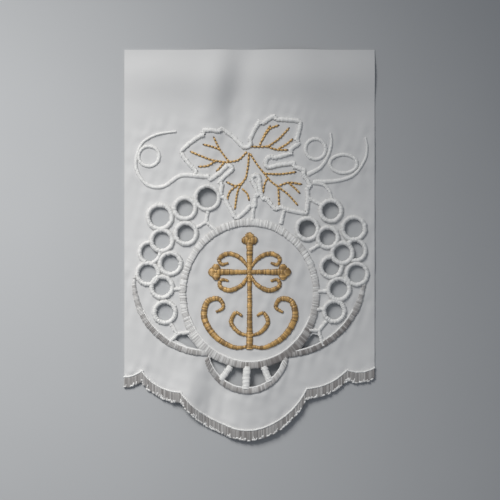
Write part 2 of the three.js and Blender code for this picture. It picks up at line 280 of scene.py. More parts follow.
def spaced(line, pitch):
    """Points along a line a pitch apart, the way the line goes there, and how far along each one is."""
    along = np.concatenate([[0], np.cumsum(np.linalg.norm(np.diff(line, axis=0), axis=1))])
    share = (np.arange(max(2, round(along[-1] / pitch))) + 0.5) / max(2, round(along[-1] / pitch))

    def at(s):
        return np.stack([np.interp(s * along[-1], along, line[:, k]) for k in (0, 1)], axis=1)

    way = at(np.minimum(share + 0.004, 1)) - at(np.maximum(share - 0.004, 0))
    return at(share), way / np.linalg.norm(way, axis=1, keepdims=True), share


def rows_across(line, width, pitch):
    """Where the stitches across a line start, on its right, and where they end, on its left."""
    middle, way, share = spaced(np.asarray(line, float), pitch)
    half = (width(share) if callable(width) else np.full(len(share), width)) / 2
    out = np.stack([-way[:, 1], way[:, 0]], axis=1) * half[:, None]
    return middle - out, middle + out


def rows_leaning(line, band, pitch, lean):
    """Stitches from a line to its inner side, between upright, lean 0, and square to the line, lean 1."""
    starts, way, share = spaced(line, pitch)
    inward = np.stack([-way[:, 1], way[:, 0]], axis=1) * lean + (0, 1 - lean)
    return starts, starts + inward / np.linalg.norm(inward, axis=1, keepdims=True) * band


def rows_up(line, band, pitch, seed):
    """Upright stitches, side by side, from a line to the same line moved up by the band."""
    x = np.arange(line[0, 0] + pitch / 2, line[-1, 0], pitch)
    x = x + np.random.default_rng(seed).uniform(-0.1, 0.1, len(x)) * pitch
    y = np.interp(x, line[:, 0], line[:, 1])
    return np.stack([x, y], axis=1), np.stack([x, y + band], axis=1)


print("a quarter of a 10 mm round has", len(arc(0, 0, 10, 10, 0, 90)), "points")


# %% Hem
HEM_BAND = 6.0
HEM_PITCH = 0.92
HEM_END = (75, -79.6)
HEM_ARCS = [  # left end: x, y, and the sag below the chord; the large scallop is three arcs
    (-75, -85.2, 1.0),
    (-64.5, -81.6, 3.4),
    (-41.1, -94.2, 2.5),
    (-14.8, -113.7, 3.1),
    (11.5, -113.9, 2.9),
    (34.2, -92.0, 2.6),
    (58.5, -81.0, 2.0),
]


def hem_arc(start, end, sag):
    start, end = np.array(start, float), np.array(end, float)
    chord = np.linalg.norm(end - start)
    radius = (chord**2 / 4 + sag**2) / (2 * sag)
    along = (end - start) / chord
    centre = (start + end) / 2 + np.array([-along[1], along[0]]) * (radius - sag)
    first, last = (math.degrees(math.atan2(*(p - centre)[::-1])) for p in (start, end))
    return arc(*centre, radius, radius, first, last)


arc_ends = [row[:2] for row in HEM_ARCS] + [HEM_END]
hem_spans = zip(arc_ends, arc_ends[1:], HEM_ARCS)
hem_line = np.concatenate([hem_arc(start, end, row[2]) for start, end, row in hem_spans])
hem_rows = rows_up(hem_line, HEM_BAND, HEM_PITCH, 2)
print(f"hem: {len(HEM_ARCS)} arcs, {len(hem_rows[0])} stitches, lowest point {hem_line[:, 1].min():.1f} mm")

# %% Grapes, medallion, cup arcs and fan
GRAPES = [  # x, y, hole radius, ring radius; the first three lie under others
    (-59.7, -4.5, 5.1, 6.9),
    (63.3, -3.3, 5.0, 6.9),
    (48.9, -13.2, 5.0, 7.0),
    (-25.2, 28.2, 6.0, 7.8),
    (-38.7, 21.9, 5.1, 7.2),
    (-53.7, 16.8, 6.0, 8.1),
    (-38.1, 6.9, 5.1, 7.2),
    (-52.5, 2.7, 5.1, 7.2),
    (-47.4, -11.1, 5.2, 7.2),
    (-60.9, -17.1, 5.3, 7.2),
    (-52.5, -25.2, 5.1, 7.2),
    (-50.7, -40.2, 5.2, 7.2),
    (48.6, 20.4, 5.1, 7.1),
    (62.4, 9.9, 5.6, 7.6),
    (34.5, 9.6, 5.2, 7.2),
    (46.8, 4.5, 4.9, 6.9),
    (55.5, -4.8, 4.9, 7.0),
    (64.2, -17.4, 5.3, 7.1),
    (53.4, -26.4, 5.2, 7.2),
    (50.7, -39.6, 5.0, 7.0),
]
UNDER_GRAPES = 3
MEDALLION = (0, -29.1)
MEDALLION_OUTER = (41.7, 44.7)
MEDALLION_INNER = (38.1, 40.5)
MEDALLION_SWELL = 1.5
CUP_ARCS = [  # x, y, radius, band, first and last turn
    (-26.2, -21.6, 43, 3.3, 177, 272),
    (20.5, -17.0, 48.4, 3.3, 357, 274),
]
CUP_TIP, CUP_SWELL = 0.4, 2.4  # share of the band at the thin end, and how fast it widens
FAN = (-1.8, -63.3, 25.4)  # x, y, outer radius
FAN_BAND = 3.6
FAN_LEAN = 0.5
FAN_TURNS = (193, 348)
FAN_TOP = [(15, -55), (-15, -55)]  # corners of the fan's opening that lie under the medallion
FAN_BARS = [  # x1, y1, x2, y2, band
    (-10.6, -71.6, -18.4, -82.5, 2.6),
    (-1.4, -71.0, -2.4, -88.5, 3.2),
    (8.0, -71.5, 12.9, -83.0, 2.8),
]
RING_PITCH = 0.62
RING_SPREAD = 0.4
FAN_BAR_SPREAD = 0.8
FAN_BAR_SEEN = (0.08, 0.85)
LINE_PITCH = 0.6
BAND_PITCH = 0.8

ring_rows = []
for x, y, hole, ring in GRAPES:
    ring += RING_SPREAD
    middle = (hole + ring) / 2
    starts, ends = rows_across(arc(x, y, middle, middle, 0, 360), ring - hole, RING_PITCH)
    if len(ring_rows) < UNDER_GRAPES:
        middles = (starts + ends) / 2
        clear = [np.hypot(*(middles - grape[:2]).T) > grape[3] for grape in GRAPES[UNDER_GRAPES:]]
        seen = np.all(clear, axis=0)
        starts, ends = starts[seen], ends[seen]
    ring_rows.append((starts, ends))
round_turns = np.arange(0, 360, 360 / round(2 * math.pi * MEDALLION_OUTER[1] / BAND_PITCH))
swell = sum(MEDALLION_SWELL * np.exp(-(((round_turns - turn) / 20) ** 2)) for turn in (222, 318))
facing = np.stack([np.cos(np.radians(round_turns)), np.sin(np.radians(round_turns))], axis=1)
medallion_rows = MEDALLION + facing * (MEDALLION_OUTER + swell[:, None]), MEDALLION + facing * MEDALLION_INNER
cup_rows = []
for x, y, r, width, first, last in CUP_ARCS:
    swelling = lambda s, width=width: width * np.minimum(1, CUP_TIP + CUP_SWELL * s)
    cup_rows.append(rows_across(arc(x, y, r, r, first, last), swelling, BAND_PITCH))
fan_line = arc(FAN[0], FAN[1], FAN[2], FAN[2], *FAN_TURNS)
fan_rows = rows_leaning(fan_line, FAN_BAND, BAND_PITCH, FAN_LEAN)
fan_bar_rows = []
for x1, y1, x2, y2, width in FAN_BARS:
    top, low = np.array([x1, y1]), np.array([x2, y2])
    seen = [top + (low - top) * share for share in FAN_BAR_SEEN]
    fan_bar_rows.append(rows_across(seen, width + FAN_BAR_SPREAD, BAND_PITCH))
print(f"rings: {sum(len(a) for a, b in ring_rows)} stitches, medallion: {len(medallion_rows[0])}")

# %% Tendrils, curls and tie bars
TENDRIL_BAND = (2.5, 0.9)  # at the root and at the tip
TENDRILS = [
    [(-29, 41), (-41, 41.6), (-52, 35), (-62, 36.6), (-68, 47), (-65, 60), (-56, 66), (-44, 68)],
    [(34.5, 42), (42.6, 46.6), (47.4, 54.4), (49, 61.6), (48.4, 67)],
    [(38, 37.6), (53, 38.6), (62.8, 42.4), (68.8, 50.6), (70.4, 58), (69.4, 64.4)],
    [(38, 37.4), (44.2, 36), (47.8, 32.2), (49.4, 27)],
]
CURL_BAND = 1.7
CURLS = [  # x, y, radius in x, radius in y
    (-60.3, 53.2, 6.2, 6.0),
    (39.4, 57.3, 6.1, 6.1),
    (56.2, 48.6, 8.2, 5.5),
]
BAR_BAND = 1.8
BARS = [  # x1, y1, x2, y2
    (-24.9, 21, -25.8, 13.8),
    (-25.8, 13.8, -32, 10.2),
    (-25.8, 13.8, -20.4, 9),
    (-47.6, -26.4, -41, -26.4),
    (-48, -45.6, -43.6, -53),
    (-47.6, -58, -42.9, -53.1),
    (-42.9, -53.1, -35.8, -52),
    (36, -3.4, 42, 0.4),
    (40.8, -27.6, 47, -27.6),
    (40.4, -38.4, 45, -38.4),
    (46.4, -45, 41.4, -51.2),
    (35.6, -50.8, 41.4, -51.2),
    (41.4, -51.2, 43.9, -60.4),
    (35, 28, 42.8, 24),
    (20.6, 20.6, 18.6, 12.6),
    (2.8, 27, 1.6, 14.4),
]


def tendril_width(share):
    return TENDRIL_BAND[0] + (TENDRIL_BAND[1] - TENDRIL_BAND[0]) * share


tendril_rows = [rows_across(spline(line), tendril_width, LINE_PITCH) for line in TENDRILS]
curl_rows = [rows_across(arc(*curl, 0, 360), CURL_BAND, LINE_PITCH) for curl in CURLS]
bar_rows = [rows_across([(x1, y1), (x2, y2)], BAR_BAND, BAND_PITCH) for x1, y1, x2, y2 in BARS]
print(f"tendrils: {len(TENDRILS)}, curls: {len(CURLS)}, tie bars: {len(BARS)}")

# %% [markdown]
# ## The vine leaf
# The leaf has four lobes about a hub. A lobe's side is a bowed line from a round notch to the tip, broken
# into separate strokes: each leaves the bowed line a little and ends in a pointed tooth, a short return
# stitch closes the tooth, and the next stroke starts inside it. That is how a digitised leaf is stitched,
# and it makes the teeth look drawn by hand.

# %% Leaf strokes
LEAF_BAND = 2.4
LEAF_HUB = np.array([0, 58.0])
LOBES = [  # turn, reach, side before and side after (belly, bulge, teeth), notch (turn, reach, width)
    (27, 34.4, (0.66, 16.5, 2), (0.4, 16.5, 2), (125, 0.8, 6.0)),
    (183, 41.5, (0.43, 21, 2), (0.66, 25, 2), (225, 15.4, 4.2)),
    (259.6, 43.3, (0.55, 19, 2), (0.64, 14, 2), (281, 16.6, 4.8)),
    (311, 51.9, (0.56, 20, 2), (0.54, 27, 3), (326, 12.2, 7.2)),
]
TOOTH_RISE = 2.6
RETURN_REACH = 0.75
NOTCH_ARM = (0.5, 0.5)  # where a lobe's side leaves the notch, in shares of its width
NOTCH_FEET = [(0.15, -0.35), (0, 0), (0.15, 0.35)]  # shares of the notch's width, along and across
PLAIN_SHARE, TOOTHED_SHARE, TIP_ROOM = 0.14, 0.84, 1.2


def polar(turn, reach):
    return np.array([math.cos(math.radians(turn)), math.sin(math.radians(turn))]) * reach


def notch_point(notch, side, along, across):
    turn, reach, width = notch
    return LEAF_HUB + polar(turn, reach + width * along) + polar(turn + 90 * side, width * across)


def lobe_side(start, lobe, side, shape):
    """Gives points on a lobe's side at given shares and rises, and the shares of its teeth."""
    belly, bulge, teeth = shape
    tip = LEAF_HUB + polar(lobe[0], lobe[1])
    swell = LEAF_HUB + polar(lobe[0], lobe[1] * belly) + polar(lobe[0] + 90 * side, bulge)

    def at(share, rise):
        share, rise = np.atleast_1d(share)[:, None], np.atleast_1d(rise)[:, None]
        place = (1 - share) ** 2 * start + 2 * share * (1 - share) * swell + share**2 * tip
        way = (1 - share) * (swell - start) + share * (tip - swell)
        way = way / np.linalg.norm(way, axis=1, keepdims=True)
        return place + np.stack([-way[:, 1], way[:, 0]], axis=1) * side * rise

    return at, [PLAIN_SHARE + TOOTHED_SHARE * (k + 1) / (teeth + TIP_ROOM) for k in range(teeth)]


def leaf_strokes():
    strokes, sides = [], []
    for i, lobe in enumerate(LOBES):
        before = lobe_side(notch_point(LOBES[i - 1][4], 1, *NOTCH_ARM), lobe, -1, lobe[2])
        after = lobe_side(notch_point(lobe[4], -1, *NOTCH_ARM), lobe, 1, lobe[3])
        sides.append((before, after))
        for at, teeth in (before, after):
            for first, last in zip(teeth, [*teeth[1:], 1.0]):
                lift = TOOTH_RISE * np.linspace(0, 1, 20) ** 1.5 * (last < 1.0)
                strokes.append(at(np.linspace(first, last, 20), lift))
                strokes.append(at([first, first], [TOOTH_RISE * RETURN_REACH, 0]))
    for i, lobe in enumerate(LOBES):
        (own, own_teeth), (following, next_teeth) = sides[i][1], sides[(i + 1) % len(LOBES)][0]
        feet = [notch_point(lobe[4], 1, along, across) for along, across in NOTCH_FEET]
        come = [own(own_teeth[0] * s, TOOTH_RISE * s**4)[0] for s in (1, 0.85, 0.6, 0.3, 0)]
        leave = [following(next_teeth[0] * s, TOOTH_RISE * s**4)[0] for s in (0, 0.3, 0.6, 0.85, 1)]
        strokes.append(spline([*come, *feet, *leave]))
    return strokes


def stroke_width(share):
    return LEAF_BAND * np.minimum(1, 0.3 + 6 * (1 - share)) * np.minimum(1, 0.8 + 4 * share)


leaf_rows = [rows_across(line, stroke_width, LINE_PITCH) for line in leaf_strokes()]
print(f"leaf: {len(leaf_rows)} strokes, {sum(len(a) for a, b in leaf_rows)} stitches")

# %% [markdown]
# ## The gold work
# The gold cross in the medallion is satin stitch again, on strokes that swell and taper like a pen's,
# with round buds on three ends of the cross. The leaf's veins are a running stitch: short gold dashes in
# a row, with a dip between two of them where the thread goes down, painted dark as shade.

# %% Gold cross and veins
GOLD_PITCH = 0.72
GOLD_BARS = [  # width at the ends, width half way, line about the middle of the medallion
    (4.2, 2.5, [(0, 32), (0, 0), (0, -33)]),
    (4.2, 2.5, [(-20, 13), (0, 13), (20, 13)]),
]
GOLD_SCROLLS = [
    (1.1, 2.6, [(0.4, 15), (5, 21), (12, 24), (17.8, 21.4), (16.8, 17.6), (12.6, 18.4)]),
    (1.1, 2.6, [(0.4, 11), (5, 5), (12, 2), (17.8, 4.6), (16.8, 8.4), (12.6, 7.6)]),
    (1.2, 3.6, [(0.4, -31), (9, -32), (20, -26), (27, -15), (25.4, -5), (18.6, -3), (15.6, -8), (20, -11)]),
    (1.1, 2.4, [(0.4, -25), (6.6, -23), (11, -17), (8.4, -11.4), (4.4, -13.2)]),
]
GOLD_BUDS = [(0, 32, 90), (-20, 13, 180), (20, 13, 0)]  # x, y, the way the bar points
BUD_RADIUS, BUD_REACH = 2.5, 2.2
VEIN_STITCH, VEIN_GAP, VEIN_DIP = 1.5, 0.6, 0.9
VEINS = [  # start, middle and end of each vein
    (-0.3, 58.8, 6.3, 58.6, 11.1, 58.8),
    (6.0, 59.4, 9.4, 66.6, 12.3, 71.1),
    (7.5, 62.4, 11.7, 69.0, 17.1, 71.4),
    (11.1, 58.8, 17.7, 63.6, 23.4, 69.6),
    (9.9, 59.1, 15.9, 57.0, 22.5, 56.7),
    (17.1, 57.3, 21.9, 60.0, 25.5, 63.0),
    (-1.5, 55.8, -6.3, 51.0, -12.3, 49.5),
    (-12.3, 49.8, -17.7, 57.0, -21.3, 64.2),
    (-17.7, 57.0, -22.5, 58.8, -27.3, 60.0),
    (-12.3, 49.2, -23.1, 51.0, -35.1, 55.8),
    (-20.1, 50.4, -24.9, 47.4, -30.3, 46.8),
    (-15.3, 49.2, -17.7, 46.2, -19.5, 44.4),
    (-0.3, 55.2, -0.9, 47.4, -2.1, 40.2),
    (-2.1, 40.2, -6.9, 32.4, -8.7, 21.6),
    (-3.3, 37.8, -8.1, 35.4, -13.5, 37.5),
    (-7.5, 35.4, -11.7, 31.8, -13.5, 26.4),
    (-4.5, 33.6, -1.5, 30.6, -0.3, 27.0),
    (0.3, 54.6, 4.5, 48.0, 9.3, 42.0),
    (9.3, 42.0, 12.9, 37.8, 17.1, 34.8),
    (8.7, 42.6, 18.3, 42.3, 27.3, 43.5),
    (10.5, 39.6, 8.7, 35.4, 8.1, 31.2),
    (17.1, 34.8, 17.4, 28.8, 17.7, 23.4),
    (17.7, 34.2, 23.1, 30.0, 28.5, 24.0),
    (17.7, 35.4, 23.7, 37.2, 30.9, 36.3),
    (23.7, 36.6, 26.7, 34.2, 29.7, 31.2),
]


def gold_stroke_rows(ends, middle, line):
    places = np.array(line, float) + MEDALLION
    return rows_across(spline(places), lambda s: middle + (ends - middle) * (2 * s - 1) ** 2, GOLD_PITCH)


def bud_rows(x, y, turn):
    """Three rounds filled with stitches that run along the bar."""
    rows = []
    for side in (-90, 0, 90):
        centre = np.array([x, y]) + MEDALLION + polar(turn + side, BUD_REACH)
        across = np.arange(-BUD_RADIUS + GOLD_PITCH / 2, BUD_RADIUS, GOLD_PITCH)[:, None]
        half = np.sqrt(BUD_RADIUS**2 - across**2)
        middle = centre + across * polar(turn + 90, 1)
        rows.append((middle - half * polar(turn, 1), middle + half * polar(turn, 1)))
    return rows


def vein_rows(length, ahead):
    """Stitches of one length on every vein, moved ahead by a share of their pitch."""
    starts, ends = [], []
    for x1, y1, x2, y2, x3, y3 in VEINS:
        middle, way, share = spaced(spline([(x1, y1), (x2, y2), (x3, y3)]), VEIN_STITCH + VEIN_GAP)
        middle = middle + way * (VEIN_STITCH + VEIN_GAP) * ahead
        starts.append(middle - way * length / 2)
        ends.append(middle + way * length / 2)
    return np.concatenate(starts), np.concatenate(ends)


mirrored = [(ends, middle, [(-x, y) for x, y in line]) for ends, middle, line in GOLD_SCROLLS]
gold_rows = [gold_stroke_rows(*stroke) for stroke in [*GOLD_SCROLLS, *mirrored, *GOLD_BARS]]
gold_rows += [row for bud in GOLD_BUDS for row in bud_rows(*bud)]
veins, vein_dips = vein_rows(VEIN_STITCH, 0), vein_rows(VEIN_DIP, 0.5)
print(f"gold: {sum(len(a) for a, b in gold_rows)} satin stitches, {len(veins[0])} vein stitches")

# %% [markdown]
# ## The ground cloth
# The sheet starts as a flat grid, fine enough to carry puckers. Solidify gives it its thickness, and
# Boolean modifiers cut the scalloped hem, the grapes and the fan while it is still flat, as scissors
# would. Then each point is lifted by the folds. Near the stitching the cloth stands a little higher and
# puckers, because thread on both sides of it draws it in.

# %% Cutters
CLOTH_WIDTH, CLOTH_LENGTH, CLOTH_THICK = 150, 234, 0.55
GRID_ACROSS, GRID_ALONG = 140, 218
CUT_DEPTH = 20
CUT_MARGIN = 15
SIDE_CUT = [(-44.4, -56.8), (-42.4, -54.2), (-37.8, -53.2), (-30.6, -62.2), (-37.2, -60.6)]


def only(*objects):
    bpy.ops.object.select_all(action="DESELECT")
    for each in objects:
        each.select_set(True)
    bpy.context.view_layer.objects.active = objects[0]


def joined(objects):
    only(*objects)
    if len(objects) > 1:
        bpy.ops.object.join()
    return bpy.context.object


def round_cutter(x, y, radius_x, radius_y, vertices=48):
    place = (x * MM, y * MM, 0)
    bpy.ops.mesh.primitive_cylinder_add(vertices=vertices, radius=MM, depth=CUT_DEPTH * MM, location=place)
    bpy.ops.transform.resize(value=(radius_x, radius_y, 1))
    bpy.ops.object.transform_apply(location=True, rotation=True, scale=True)
    return bpy.context.object


def outline_cutter(name, corners):
    """A prism on an outline: one face from its corners, extruded upwards."""
    mesh = bpy.data.meshes.new(name)
    points = [(x * MM, y * MM, -CUT_DEPTH / 2 * MM) for x, y in corners]
    mesh.from_pydata(points, [], [range(len(points))])
    cutter = bpy.data.objects.new(name, mesh)
    bpy.context.scene.collection.objects.link(cutter)
    only(cutter)
    bpy.ops.object.mode_set(mode="EDIT")
    bpy.ops.mesh.select_all(action="SELECT")
    bpy.ops.mesh.extrude_region_move(TRANSFORM_OT_translate={"value": (0, 0, CUT_DEPTH * MM)})
    bpy.ops.mesh.select_all(action="SELECT")
    bpy.ops.mesh.normals_make_consistent(inside=False)
    bpy.ops.object.mode_set(mode="OBJECT")
    return cutter


def cut(target, cutter):
    only(target)
    modifier = target.modifiers.new("cut", "BOOLEAN")
    modifier.operation = "DIFFERENCE"
    modifier.solver = "MANIFOLD"
    modifier.object = cutter
    bpy.ops.object.modifier_apply(modifier=modifier.name)
    bpy.data.objects.remove(cutter)


def bar_corners(x1, y1, x2, y2, band):
    start, end = np.array([x1, y1]), np.array([x2, y2])
    along = (end - start) / np.linalg.norm(end - start)
    out = np.array([-along[1], along[0]]) * band / 2
    return [start - out, end - out, end + out, start + out]


def fan_cutter():
    """The opening inside the fan's rim without the medallion and the bars that stay."""
    fan = outline_cutter("fan_opening", [*fan_rows[1], *FAN_TOP])
    cut(fan, round_cutter(*MEDALLION, *MEDALLION_OUTER, 128))
    for bar in FAN_BARS:
        cut(fan, outline_cutter("bar", bar_corners(*bar)))
    return fan


print(f"cutters: {len(GRAPES)} rounds, a fan with {len(FAN_BARS)} bars, two side cuts and the hem")


# %% Cut the flat sheet
side, low = CLOTH_WIDTH / 2 + CUT_MARGIN, -CLOTH_LENGTH / 2 - CUT_MARGIN
below_hem = [(-side, HEM_ARCS[0][1]), *hem_line, (side, HEM_END[1]), (side, low), (-side, low)]
bpy.ops.mesh.primitive_grid_add(x_subdivisions=GRID_ACROSS, y_subdivisions=GRID_ALONG, size=2 * MM)
cloth = bpy.context.object
cloth.name = "cloth_sheet"
bpy.ops.transform.resize(value=(CLOTH_WIDTH / 2, CLOTH_LENGTH / 2, 1))
bpy.ops.object.transform_apply(location=True, rotation=True, scale=True)
thicken = cloth.modifiers.new("thickness", "SOLIDIFY")
thicken.thickness = CLOTH_THICK * MM
thicken.offset = 1
bpy.ops.object.modifier_apply(modifier=thicken.name)

lower, upper = GRAPES[:UNDER_GRAPES], GRAPES[UNDER_GRAPES:]
lower_holes = joined([round_cutter(x, y, hole, hole) for x, y, hole, ring in lower])
for x, y, hole, ring in upper:
    if any(math.dist((x, y), grape[:2]) < ring + grape[2] for grape in lower):
        cut(lower_holes, round_cutter(x, y, ring, ring))
cut(cloth, outline_cutter("below_hem", below_hem))
cut(cloth, lower_holes)
cut(cloth, joined([round_cutter(x, y, hole, hole) for x, y, hole, ring in upper]))
cut(cloth, fan_cutter())
for mirror in (1, -1):
    cut(cloth, outline_cutter("side_cut", [(mirror * x, y) for x, y in SIDE_CUT]))

# %% Fold and pucker the sheet
STITCH_LIFT = 0.35
LIFT_REACH = 9.0
PUCKER_RISE = 0.26
PUCKER_REACH = 8.0
UNEVEN_RISE = 0.22

white_rows = [hem_rows, *ring_rows, medallion_rows, *cup_rows, fan_rows, *fan_bar_rows]
white_rows += [*tendril_rows, *curl_rows, *bar_rows, *leaf_rows]
stitched = np.concatenate([end for rows in [*white_rows, *gold_rows, veins] for end in rows])
stitch_tree = KDTree(len(stitched))
for i, (x, y) in enumerate(stitched):
    stitch_tree.insert((x, y, 0), i)
stitch_tree.balance()


def ripples(x, y, count, shortest, longest, seed):
    """A soft uneven surface between -1 and 1: waves of many lengths and directions."""
    draw = np.random.default_rng(seed)
    total = np.zeros_like(x)
    for _ in range(count):
        turn, phase = draw.uniform(0, 2 * np.pi, 2)
        length = draw.uniform(shortest, longest)
        total += np.sin(2 * np.pi * (x * np.cos(turn) + y * np.sin(turn)) / length + phase)
    return total / math.sqrt(count)


def cloth_lift(x, y, away):
    """How high the sheet's underside lies, given how far it is from the nearest stitch."""
    near = np.exp(-((away / LIFT_REACH) ** 2))
    drawn = np.exp(-((away / PUCKER_REACH) ** 2)) * (1 - np.exp(-((away / 1.6) ** 2)))
    uneven = UNEVEN_RISE * ripples(x, y, 9, 26, 70, 3)
    pucker = PUCKER_RISE * drawn * ripples(x, y, 16, 5, 13, 4)
    folds = fold_height(x, y)
    lift = folds + STITCH_LIFT * near + pucker + uneven * np.minimum(folds, 1) * (1 - near)
    return np.maximum(lift, 0)


places = np.zeros(len(cloth.data.vertices) * 3)
cloth.data.vertices.foreach_get("co", places)
places = places.reshape(-1, 3) / MM
away = np.array([stitch_tree.find((x, y, 0))[2] for x, y, z in places])
places[:, 2] += cloth_lift(places[:, 0], places[:, 1], away)
cloth.data.vertices.foreach_set("co", (places * MM).ravel())
cloth.data.update()
only(cloth)
bpy.ops.object.shade_smooth_by_angle(angle=math.radians(40))
cloth.data.materials.clear()
cloth.data.materials.append(white_weave)
cloth.data.polygons.foreach_set("material_index", np.zeros(len(cloth.data.polygons), np.int32))
print(f"sheet: from {places[:, 2].min():.2f} to {places[:, 2].max():.2f} mm above the table")

# %% [markdown]
# ## Threads
# Every stitch is a small closed tube. It rises from one edge of its line, runs over a padded crown and
# goes down at the other edge, and at a cut edge it runs on round the edge to the back. Thousands made one
# by one would take too long, so their points are worked out together as arrays and joined into one mesh a
# piece. Satin looks dark along one way and bright across it. Here that is painted shade in a stitch's tone,
# from the way it runs, so it is right for this light alone. A stitch's ends, where it goes into the cloth,
# get painted shade in their tone too. A little scatter in length, height and tone keeps them from looking
# like a machine drawing.

# %% Stitch tubes
TUBE_SIDES = 6
SINK = 0.14
ABOVE_TABLE = 0.35
# Painted shade: a stitch's tone is darkened the closer it runs to this way, as satin along the light looks
# dark.
PAINTED_SHADE_AXIS = 118  # the way a stitch runs when it looks darkest, in degrees
PAINTED_SHADE_FALL = 2.5
TUBE_FILL = 0.6


def cloth_top(x, y):
    return fold_height(x, y) + STITCH_LIFT + CLOTH_THICK


def stitch_paths(rows, crown, draw, wrap=(0, 0), under=0.5, scatter=0.12, rings=9, shoulder=0.72):
    """Middle lines of the stitches, an array of stitches by rings by three, and their sideways vectors."""
    starts, ends = rows
    reach = ends - starts
    length = np.linalg.norm(reach, axis=1, keepdims=True)
    way = reach / length
    starts = starts + way * draw.normal(0, scatter, (len(starts), 1))
    ends = ends + way * draw.normal(0, scatter, (len(ends), 1))
    turn = np.linspace(-np.pi * wrap[0], np.pi * (1 + wrap[1]), rings)
    across = (1 - np.cos(turn)) / 2
    high = np.where(np.sin(turn) > 0, np.abs(np.sin(turn)) ** shoulder, 0)
    deep = np.where(np.sin(turn) < 0, np.abs(np.sin(turn)), 0)
    plan = starts[:, None] + (ends - starts)[:, None] * across[:, None]
    crowns = np.broadcast_to(crown, (len(starts),)) * draw.normal(1, 0.05, len(starts))
    rise = crowns[:, None] * high - (CLOTH_THICK + under) * deep - SINK
    up = np.maximum(cloth_top(plan[..., 0], plan[..., 1]) + rise, ABOVE_TABLE)
    sideways = np.stack([-way[:, 1], way[:, 0], np.zeros(len(way))], axis=1)
    return np.concatenate([plan, up[..., None]], axis=2), sideways[:, None, :]


def tubes(paths, sideways, half_width, half_height, draw, tones, painted_end_shade, shade=0.0, axis=PAINTED_SHADE_AXIS):
    """Closed tubes along the paths: points, faces, and each point's tone and place on the thread."""
    count, rings, _ = paths.shape
    way = np.gradient(paths, axis=1)
    way /= np.linalg.norm(way, axis=2, keepdims=True)
    sideways = np.broadcast_to(sideways, way.shape)
    out = np.cross(way, sideways)
    turn = np.linspace(0, 2 * np.pi, TUBE_SIDES, endpoint=False) - np.pi / 2
    taper = np.ones(rings)
    taper[[0, -1]] = 0.55
    taper = taper[None, :, None, None]
    ring = (
        half_width * np.cos(turn)[None, None, :, None] * sideways[:, :, None]
        + half_height * np.sin(turn)[None, None, :, None] * out[:, :, None]
    )
    points = paths[:, :, None] + taper * ring
    index = np.arange(count * rings * TUBE_SIDES).reshape(count, rings, TUBE_SIDES)
    turned = np.roll(index, -1, axis=2)
    walls = np.stack([index[:, :-1], turned[:, :-1], turned[:, 1:], index[:, 1:]], axis=-1)
    caps = np.concatenate([index[:, 0, ::-1], index[:, -1]])
    # Painted shade: a stitch's tone falls towards its ends, where it goes into the cloth.
    ends = 1 - painted_end_shade * np.abs(np.linspace(-1, 1, rings)) ** 2
    # Painted shade: the tone falls the closer the stitch runs to the axis, as satin along the light looks
    # dark.
    dark = np.maximum(0, sideways[:, 0, :2] @ polar(axis + 90, 1)) ** PAINTED_SHADE_FALL
    tone = draw.uniform(*tones, count) - shade * dark
    tone = np.repeat((tone[:, None] * ends).ravel(), TUBE_SIDES)
    along = np.cumsum(np.linalg.norm(np.diff(paths, axis=1, prepend=paths[:, :1]), axis=2), axis=1)
    around = np.arange(TUBE_SIDES) / TUBE_SIDES
    grid = np.stack(np.broadcast_arrays(along[:, :, None], around[None, None]), axis=-1)
    return points.reshape(-1, 3), walls.reshape(-1, 4), caps, tone, grid.reshape(-1, 2)


def thread_piece(name, chunks, material):
    """One mesh from several lots of tubes."""
    points, faces, tones, threads, offset = [], [], [], [], 0
    for lot, walls, caps, tone, grid in chunks:
        points.append(lot)
        faces += (walls + offset).tolist() + (caps + offset).tolist()
        tones.append(tone)
        threads.append(grid)
        offset += len(lot)
    mesh = bpy.data.meshes.new(name)
    mesh.from_pydata(np.concatenate(points) * MM, [], faces)
    mesh.polygons.foreach_set("use_smooth", np.ones(len(mesh.polygons), bool))
    tone_layer = mesh.attributes.new("tone", "FLOAT", "POINT")
    tone_layer.data.foreach_set("value", np.concatenate(tones).astype(np.float32))
    corner = np.zeros(len(mesh.loops), np.int32)
    mesh.loops.foreach_get("vertex_index", corner)
    layer = mesh.uv_layers.new(name="thread")
    layer.data.foreach_set("uv", np.concatenate(threads)[corner].astype(np.float32).ravel())
    mesh.materials.append(material)
    piece = bpy.data.objects.new(name, mesh)
    bpy.context.scene.collection.objects.link(piece)
    print(f"{name}: {sum(len(chunk[2]) for chunk in chunks) // 2} threads, {len(mesh.polygons)} faces")
    return piece


# A satin stitch's tone carries painted shade at its ends and from the way it runs.
def satin(
    rows, crown, pitch, draw, flat=0.72, tones=(0.84, 1.0), painted_end_shade=0.12, shade=0.0, axis=PAINTED_SHADE_AXIS, **shape
):
    paths, sideways = stitch_paths(rows, crown, draw, **shape)
    half = TUBE_FILL * pitch
    return tubes(paths, sideways, half, half * flat, draw, tones, painted_end_shade, shade, axis)


print(f"stitches: tubes with {TUBE_SIDES} sides, darkest when they run at {PAINTED_SHADE_AXIS} degrees")


# %% [markdown]
# ## White satin
# Each family of white stitching gets its own crown. The grape rings and the fan's bars stand high and run
# round their cut edges, the fan's rim has stitches that lean, the hem's stand upright, the medallion and
# the cup arcs are a little lower, and the leaf's outline and the tendrils are thin lines. Where two
# grapes overlap, the upper ring is stitched over the lower one. A bright thread is laid along the edges
# of the wide bands.

# %% Rings, medallion and fan
RING_CROWN, BAND_CROWN, FAN_BAR_CROWN, BAR_CROWN = 1.5, 0.9, 1.2, 1.0
BAND_SHOULDER = 0.42
EDGE_CROWN, EDGE_STITCH, EDGE_PITCH = 0.75, 1.2, 0.9
EDGE_OVERLAP, EDGE_TONE = 0.65, 0.85
